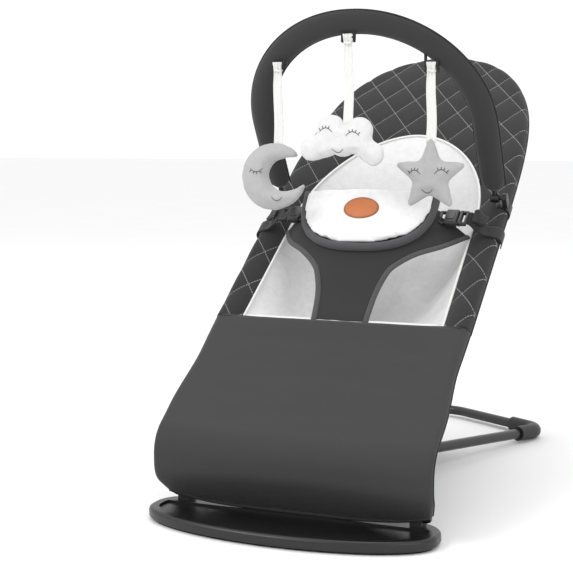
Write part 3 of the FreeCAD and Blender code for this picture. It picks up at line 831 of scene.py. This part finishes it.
def make_buckle(side, name):
    inner, outer = 0.1115, 0.131
    n, s = BUCKLE_N, BUCKLE_S

    def mirror(x, along, out):
        return seat(side * x, along, out)

    def bar(label, low, high, bevel):
        """A rounded box, its corners given along s and n from the buckle's middle."""
        near, far = [(corner[0], s + corner[1], n + corner[2]) for corner in (low, high)]
        return block(label, near, far, bevel, mirror)

    body = [bar("socket_body", (inner, -0.0155, -0.0055), (outer, 0.0155, 0.0055), 0.0030),
            bar("socket_rib", (inner + 0.003, -0.009, 0.0048), (outer - 0.004, 0.009, 0.0066), 0.0008),
            bar("socket_bar", (inner - 0.009, -0.0135, -0.0025), (inner - 0.0055, 0.0135, 0.0025), 0.001)]
    body += [bar("socket_side", (inner - 0.009, k * 0.0125 - 0.0018, -0.0025),
                 (inner + 0.002, k * 0.0125 + 0.0018, 0.0025), 0.0009) for k in (-1, 1)]
    socket = join("buckle_body_" + name, body)
    finish_piece(socket, MATERIAL["buckle"], "seat", "buckle_plastic", "buckle_socket_" + name)
    start = outer + 0.0006
    parts = [bar("plug_body", (start, -0.0145, -0.004), (start + 0.005, 0.0145, 0.004), 0.0015)]
    parts += [bar("plug_side", (start, k * 0.0125 - 0.002, -0.003),
                  (start + 0.013, k * 0.0125 + 0.002, 0.003), 0.0012) for k in (-1, 1)]
    parts += [bar("plug_bar", (start + 0.0095, -0.0125, -0.003), (start + 0.013, 0.0125, 0.003), 0.001)]
    parts += [bar("plug_prong", (start - 0.014, k * 0.012 - 0.0022, -0.002),
                  (start + 0.001, k * 0.012 + 0.0022, 0.002), 0.001) for k in (-1, 1)]
    plug = join("buckle_prongs_" + name, parts)
    finish_piece(plug, MATERIAL["buckle"], "buckle_" + name, "buckle_plastic", "buckle_plug_" + name)
    make_strap(side, name, start + 0.010)
    tab = [mirror(x, s + 0.001, n_) for x, n_ in ((inner - 0.0075, n), (inner - 0.014, n + 0.004),
                                                  (inner - 0.024, n + 0.005))]
    strip = ribbon_band("buckle_tab_" + name, tab, [ALONG] * len(tab), 0.0115, 0.0012)
    finish_piece(strip, MATERIAL["webbing"], "seat", "webbing")


def ribbon_band(name, path, sides, half, thick, steps=9):
    """A flat strap along a path; sides gives the way across at each point."""
    fine = [Vector(catmull([tuple(p) for p in path], t)) for t in spread(len(path) * 6)]
    rows = []
    for t, point in zip(spread(len(fine)), fine):
        across = Vector(catmull([tuple(v) for v in sides], t)).normalized()
        rows.append([point + across * mix(-half, half, i / (steps - 1)) for i in range(steps)])
    return thicken(grid(name, rows), thick, 0.0)


def make_strap(side, name, start):
    """Webbing from the plug down to the side tube, doubled back and slightly crumpled."""
    line = [(start, 0.000, 0.0385), (start + 0.007, 0.001, 0.037), (start + 0.014, -0.001, 0.031),
            (start + 0.020, -0.003, 0.026), (FRAME_X - 0.006, -0.001, 0.0165),
            (FRAME_X + 0.004, 0.001, 0.0138), (FRAME_X + 0.0125, 0.002, 0.008),
            (FRAME_X + 0.0145, 0.002, 0.000), (FRAME_X + 0.0125, 0.002, -0.008)]
    path = [seat(side * x, BUCKLE_S + s, n) for x, s, n in line]
    turns = [0, 0.15, 0.35, 0.2, -0.1, 0, 0, 0, 0]
    sides = [ALONG + OUT * t for t in turns]
    strap = ribbon_band("webbing_strap_" + name, path, sides, 0.012, 0.0016)
    paint(strap, MATERIAL["webbing"])
    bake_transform(strap)
    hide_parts("side_strap_" + name)
    tail = [(start + 0.011, 0.003, 0.0415), (start + 0.017, 0.007, 0.037), (start + 0.022, 0.006, 0.0315),
            (start + 0.029, 0.009, 0.0275)]
    path = [seat(side * x, BUCKLE_S + s, n) for x, s, n in tail]
    loose = ribbon_band("webbing_tail_" + name, path, [ALONG, ALONG + OUT * 0.3, ALONG, ALONG - OUT * 0.2],
                        0.0115, 0.0015)
    finish_piece(loose, MATERIAL["webbing"], "buckle_" + name, "webbing")


# Toy bar

def bar_place(x, rise, ahead=0.0):
    """A point in the bar's leaning plane."""
    up = Vector((0, -math.sin(BAR_LEAN), math.cos(BAR_LEAN)))
    front = Vector((0, -math.cos(BAR_LEAN), -math.sin(BAR_LEAN)))
    return pivot("toy_bar_tilt") + ACROSS * x + up * rise + front * ahead


def bar_line(half, rise, bend, start=0.016):
    points = [bar_place(half, start), bar_place(half, rise), bar_place(-half, rise), bar_place(-half, start)]
    return rounded(points, [bend, bend], 0.005)


def make_bar():
    path = bar_line(BAR_HALF, BAR_RISE, BAR_BEND)
    front = (bar_place(0, 0, 1) - bar_place(0, 0, 0)).normalized()
    rows = []
    frames = path_frames(path, hint=ACROSS)
    for i, (point, side, up) in enumerate(frames):
        end = min(i, len(frames) - 1 - i) / 5
        close = math.sqrt(1 - (1 - min(end, 1)) ** 2) * 0.55 + 0.45
        row = []
        for a in spread(33, 0, 2 * math.pi)[:-1]:
            ripple = 1 + 0.03 * noise.noise(Vector((i * 0.22, math.cos(a) * 1.6, math.sin(a) * 1.6)))
            ripple += 0.012 * noise.noise(Vector((i * 0.9, math.cos(a) * 3, math.sin(a) * 3 + 7)))
            row.append(point + side * (PAD_WIDE * close * ripple * math.cos(a))
                       + up * (PAD_THICK * close * ripple * math.sin(a)))
        rows.append(row)
    sleeve = grid("bar_sleeve", rows, loop=True, caps=True)
    finish_piece(sleeve, MATERIAL["bar"], "toy_bar", "bar_fabric", "bar_pad")
    for sign, name in ((1, "outer"), (-1, "inner")):
        offset = sign * (PAD_WIDE + 0.0003)
        line = bar_line(BAR_HALF + offset, BAR_RISE + offset, BAR_BEND + offset, 0.022)
        seam = sweep("bar_seam_" + name, line, 0.0012, sides=8, hint=front)
        finish_piece(seam, MATERIAL["edging"], "toy_bar", "bar_fabric")


def make_loops():
    """A short black pin in two narrow tapes for each ribbon, sewn to the bar."""
    parts = []
    for name in TOY_DROPS:
        hook = pivot(name + "_swing")
        lean = max(abs(hook.x) - BAR_HALF + BAR_BEND, 0)
        sewn = bar_place(hook.x, BAR_RISE - BAR_BEND + math.sqrt(BAR_BEND ** 2 - lean ** 2))
        back = (sewn - hook).normalized()
        turned = ACROSS.cross(back)
        parts.append(sweep("pin", [hook - ACROSS * 0.009, hook + ACROSS * 0.009], 0.0016, sides=10))
        for side in (-1, 1):
            start = ACROSS * (side * 0.0086)
            round_pin = [hook + start + turned * (0.0022 * math.cos(a)) - back * (0.0022 * math.sin(a))
                         for a in spread(9, 0, math.pi)]
            line = [sewn + start + turned * 0.002] + round_pin + [sewn + start - turned * 0.002]
            parts.append(ribbon_band("tape", line, [ACROSS] * len(line), 0.0015, 0.0011, 5))
    loops = join("hang_tapes", parts)
    finish_piece(loops, MATERIAL["webbing"], "toy_bar", "webbing", "toy_loops")


# Hanging toys

TOY_DROPS = {"moon": 0.159, "cloud": 0.143, "star": 0.152}    # from the hook to the toy's middle
MOON_SHIFT = -0.005
TOY_HALF = 0.0065
LASH = 3.6                # height of an eyelash, mm


def moon_outline():
    """A crescent: the outer round, a blunt tip, the inner round and the other tip, in mm."""
    outer, inner, centre = 53.0, 29.0, Vector((24, 4))
    arc = [Vector((outer * math.cos(a), outer * math.sin(a)))
           for a in spread(60, math.radians(50), math.radians(336))]
    hollow = [centre + Vector((inner * math.cos(a), inner * math.sin(a)))
              for a in spread(40, math.radians(318), math.radians(80))]
    return arc + blunt(arc[-1], hollow[0]) + hollow + blunt(hollow[-1], arc[0])


def blunt(start, end):
    """Points of a half circle between two points, turning outward."""
    middle = (start + end) / 2
    arm = start - middle
    turned = Vector((-arm.y, arm.x))
    return [middle + arm * math.cos(a) + turned * math.sin(a) for a in spread(9, 0, math.pi)[1:-1]]


def cloud_outline():
    """The outside of overlapping rounds, seen from its middle, in mm."""
    puffs = [(-54, -11, 20), (-25, 16, 24), (17, 13, 23), (37, -19, 19), (-7, -3, 24), (-34, -8, 20)]
    centre = Vector((-8, -2))
    reaches = []
    for a in spread(181, 0, 2 * math.pi)[:-1]:
        ray = Vector((math.cos(a), math.sin(a)))
        best = 10.0
        for x, y, radius in puffs:
            away = Vector((x, y)) - centre
            along = away.dot(ray)
            room = radius ** 2 - (away.length_squared - along ** 2)
            if room > 0:
                best = max(best, along + math.sqrt(room))
        reaches.append((ray, best))
    smoothed = []
    for i, (ray, _) in enumerate(reaches):
        near = [reaches[(i + k) % len(reaches)][1] for k in range(-2, 3)]
        smoothed.append(centre + ray * (sum(near) / 5 - 0.5))
    return smoothed


def star_outline():
    """Five blunt points, in mm."""
    corners = [Vector((r * math.sin(k * math.pi / 5), r * math.cos(k * math.pi / 5)))
               for k, r in zip(range(10), [60, 28] * 5)]
    outline = []
    for k, corner in enumerate(corners):
        before, after = corners[k - 1], corners[(k + 1) % 10]
        reach = 13 if k % 2 == 0 else 5
        start = corner + (before - corner).normalized() * reach
        end = corner + (after - corner).normalized() * reach
        outline += [start.lerp(corner, t).lerp(corner.lerp(end, t), t) for t in spread(7)]
    return outline


def make_toy(name, outline, material, face):
    hook = pivot(name + "_swing")
    centre = hook - UP * TOY_DROPS[name]
    if name == "moon":
        centre += ACROSS * MOON_SHIFT
    shape = [(p.x / 1000, p.y / 1000) for p in outline]
    toy = flat_cushion(name + "_toy", shape, TOY_HALF, lambda x, v, w: centre + Vector((x, w, v)))
    inflate(toy, 0.004, 5.0, 0.006)
    finish_piece(toy, material, name, name + "_fabric", "toy_" + name)
    stitch_face(toy, name, centre, face)
    make_ribbon(name, hook, toy)


def on_front(tree, centre, x, z, lift=0.0003):
    start = centre + Vector((x, -0.08, z))
    hit = tree.ray_cast(start, Vector((0, 1, 0)))[0]
    return (hit or centre + Vector((x, 0, z))) - Vector((0, lift, 0))


def stitch_face(toy, name, centre, face):
    """Closed eyes with lashes and a small smile, sewn in dark thread on the toy's front."""
    tree = surface_of(toy)
    strokes = []
    for x, z, wide, lift, lashes in face:
        arc = []
        for t in spread(15, -1, 1):
            arc.append((x + wide / 2 * t, z + lift * (t * t - 0.5)))
        strokes.append(arc)
        turn = LASH if lift < 0 else -LASH
        for t in lashes:
            foot_x, foot_z = x + wide / 2 * t, z + lift * (t * t - 0.5)
            strokes.append([(foot_x, foot_z), (foot_x + t * 2.6, foot_z + turn * 0.55),
                            (foot_x + t * 4.0, foot_z + turn)])
    parts = []
    for stroke in strokes:
        fine = [Vector(catmull([(*p, 0.0) for p in stroke], t)) for t in spread(max(8, len(stroke) * 2))]
        line = [on_front(tree, centre, p.x / 1000, p.y / 1000) for p in fine]
        parts.append(sweep("stroke", line, 0.00062, 0.0005, sides=8, hint=Vector((0, 1, 0)),
                           size=lambda t: 0.55 + 0.45 * math.sin(math.pi * t)))
    thread = join("face_" + name, parts)
    finish_piece(thread, MATERIAL["thread"], name, name + "_fabric")


def make_ribbon(name, hook, toy):
    """A white ribbon, pleated where it is tied at the top and sewn into the toy below."""
    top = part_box("ribbon_" + name)
    tree = surface_of(toy)
    hit = tree.ray_cast(hook - UP * 0.03, -UP)[0]
    bottom = (hit.z if hit else top[0].z) - 0.006
    length = hook.z + 0.0045 - bottom
    rows = []
    for t in spread(61):
        z = hook.z + 0.0045 - length * t
        down = t * length
        half = mix(0.0056, 0.0068, smooth((down - 0.008) / 0.03)) + 0.0008 * smooth((0.007 - down) / 0.006)
        half += 0.0006 * smooth((t - 0.7) / 0.3)
        pleat = 0.0008 * (1 - smooth(down / 0.045)) + 0.0002
        sway = 0.0016 * math.sin(t * 4.2 + len(name)) * math.sin(math.pi * t)
        front = 0.0042 * (1 - smooth(down / 0.02))
        row = []
        for f in spread(19, -1, 1):
            wave = pleat * math.sin(f * 8.5 + t * 2.0) + 0.0004 * math.sin(f * 2.5 + t * 9)
            row.append(Vector((hook.x + half * f + sway, hook.y - front + wave, z)))
        rows.append(row)
    ribbon = thicken(grid(name + "_ribbon", rows), 0.0009, 0.0)
    tied = hook - UP * 0.0075
    knot_path = [tied + Vector((0.0052 * math.cos(a), 0.0040 * math.sin(a), 0.0006 * math.sin(2 * a)))
                 for a in spread(25, 0, 2 * math.pi)[:-1]]
    knot = sweep("knot", knot_path, 0.0018, 0.0010, sides=10, closed=True, hint=UP)
    both = join(name + "_ribbon_tied", [ribbon, knot])
    finish_piece(both, MATERIAL["ribbon"], name, "ribbon", "ribbon_" + name)


# Materials by name, then the pieces

MATERIAL = {
    "quilt": fabric("quilted_cloth", (0.021, 0.021, 0.022), sheen=0.10, lines=quilt_lines),
    "plain": fabric("plain_cloth", (0.029, 0.029, 0.030), mottle=0.06, rough=0.62, sheen=0.12),
    "plain_fine": fabric("yoke_cloth", (0.026, 0.026, 0.027), mottle=0.08, rough=0.8, sheen=0.10),
    "edging": fabric("edging_cloth", (0.012, 0.012, 0.013), rough=0.6, sheen=0.1),
    "bar": fabric("bar_cloth", (0.031, 0.031, 0.032), mottle=0.1, rough=0.75, sheen=0.12, second=(0, 0, 1)),
    "liner": plush("liner_plush", (0.68, 0.68, 0.68), sheen=0.1, grain=700),
    "white_trim": fabric("white_trim_cloth", (0.78, 0.78, 0.77), mottle=0.04),
    "bib": plush("bib_plush", (0.80, 0.80, 0.80), sheen=0.1, grain=800),
    "grey_binding": fabric("binding_cloth", (0.072, 0.072, 0.075), mottle=0.08, pitch=0.0013, sheen=0.15),
    "leather": leather("tan_leather", (0.45, 0.135, 0.038), bib_place(0, PATCH_V, 0)),
    "buckle": moulded("buckle_plastic_dark", (0.022, 0.022, 0.024), rough=0.35),
    "webbing": webbing("webbing_black", (0.018, 0.018, 0.019), axis=tuple(ALONG)),
    "moon": plush("moon_plush", (0.42, 0.42, 0.42)),
    "cloud": plush("cloud_plush", (0.70, 0.70, 0.70), sheen=0.3),
    "star": plush("star_plush", (0.40, 0.40, 0.40)),
    "ribbon": fabric("ribbon_satin", (0.80, 0.80, 0.79), rough=0.5, mottle=0.04, pitch=0.001,
                     second=(0, 0, 1)),
    "thread": fabric("dark_thread", (0.03, 0.03, 0.035), rough=0.6),
    "plate": moulded("plate_satin", (0.005, 0.005, 0.0055), rough=0.34, scale=1800),
    "rubber": moulded("sole_matte", (0.008, 0.008, 0.008), rough=0.8),
    "black": moulded("black_moulding", (0.009, 0.009, 0.0095), rough=0.4),
    "tube": moulded("tube_satin_paint", (0.005, 0.005, 0.0055), rough=0.3, coat=0.2),
    "foot": moulded("foot_moulding", (0.011, 0.011, 0.0115), rough=0.5),
    "wire": moulded("wire_black_paint", (0.006, 0.006, 0.0065), rough=0.32, coat=0.15),
    "rail": moulded("rail_painted", (0.010, 0.010, 0.0105), rough=0.4),
    "bright": moulded("bright_metal", (0.62, 0.62, 0.63), rough=0.25, metal=1.0),
}

NODE_MATERIAL = {
    "base_plate": "plate", "base_sole": "rubber", "wire_socket": "black", "floor_rail": "rail",
    "rail_bridge": "rail", "rail_rivets": "bright", "catch_tab": "black", "leg_pin": "bright",
    "rear_leg": "tube", "foot_sleeve": "foot", "spring_wire": "wire", "spigot": "black",
    "support_hoop": "tube", "hoop_clamp": "black", "hoop_collars": "black", "prop_arm": "rail",
    "prop_rod": "bright", "latch_block": "black", "seat_hoop": "tube", "bar_clamp": "black",
    "bar_core": "wire",
}

FACES = {
    "moon": [(-25, 9, 19, 5, (-0.8, -0.35, 0.1, 0.55)), (7, -32, 16, 6, ())],
    "cloud": [(-29, 15, 20, -6, (-0.8, -0.4, 0.0, 0.4)), (11, 9.5, 20, -6, (-0.4, 0.0, 0.4, 0.8)),
              (-11, -14, 16, 5, ())],
    "star": [(-20, 5, 18, -6, (-0.8, -0.4, 0.0, 0.4)), (18, 6, 18, -6, (-0.4, 0.0, 0.4, 0.8)),
             (-2, -21, 15, 5, ())],
}

for key, which in NODE_MATERIAL.items():
    for node_name, node in nodes.items():
        if node_name == key or node_name in (key + "_left", key + "_right"):
            for entry in node.material_slots:
                entry.material = MATERIAL[which]

make_seat_cover()
make_lower_cover()
make_liner()
make_yoke()
make_bib()
for way, side_name in ((-1, "left"), (1, "right")):
    make_buckle(way, side_name)
make_bar()
make_loops()
make_toy("moon", moon_outline(), MATERIAL["moon"], FACES["moon"])
make_toy("cloud", cloud_outline(), MATERIAL["cloud"], FACES["cloud"])
make_toy("star", star_outline(), MATERIAL["star"], FACES["star"])


# Stage: pale floor, soft studio light, camera

def make_stage():
    corners = [(-30, -30, 0), (30, -30, 0), (30, 30, 0), (-30, 30, 0)]
    floor = add_object("stage_floor", corners, [(0, 1, 2, 3)])
    material, tree, shader = new_material("floor_pale")
    tone = blend_colour(tree, noise_of(tree, place_of(tree), 3), (0.86, 0.86, 0.86), (0.90, 0.90, 0.90))
    tree.links.new(tone, shader.inputs["Base Color"])
    shader.inputs["Roughness"].default_value = 0.7
    paint(floor, material)
    world = bpy.data.worlds.new("studio")
    bpy.context.scene.world = world
    world.use_nodes = True
    world.node_tree.nodes["Background"].inputs["Color"].default_value = (1, 1, 1, 1)
    world.node_tree.nodes["Background"].inputs["Strength"].default_value = 1.06
    for name, place, target, size, power in (
            ("key", (-1.6, -2.2, 2.6), (0, 0, 0.3), 1.8, 42),
            ("fill", (2.4, -1.8, 1.6), (0, 0, 0.3), 2.0, 16),
            ("top", (0.2, 0.6, 3.0), (0, 0, 0.2), 2.2, 22)):
        lamp = bpy.data.lights.new(name, "AREA")
        lamp.shape = "DISK"
        lamp.size = size
        lamp.energy = power
        obj = bpy.data.objects.new(name, lamp)
        obj.location = place
        obj.rotation_euler = (Vector(target) - Vector(place)).to_track_quat("-Z", "Y").to_euler()
        bpy.context.scene.collection.objects.link(obj)


def make_camera():
    turn, tilt = math.radians(22.35), math.radians(6.41)
    lens = bpy.data.cameras.new("camera")
    lens.lens = 81.8
    lens.sensor_width = 36
    lens.clip_end = 100
    camera = bpy.data.objects.new("camera", lens)
    camera.location = (0.61346, -1.84355, 0.4966)
    camera.rotation_euler = (math.pi / 2 - tilt, 0, turn)
    bpy.context.scene.collection.objects.link(camera)
    bpy.context.scene.camera = camera


make_stage()
make_camera()
bpy.context.scene.view_settings.view_transform = "Standard"
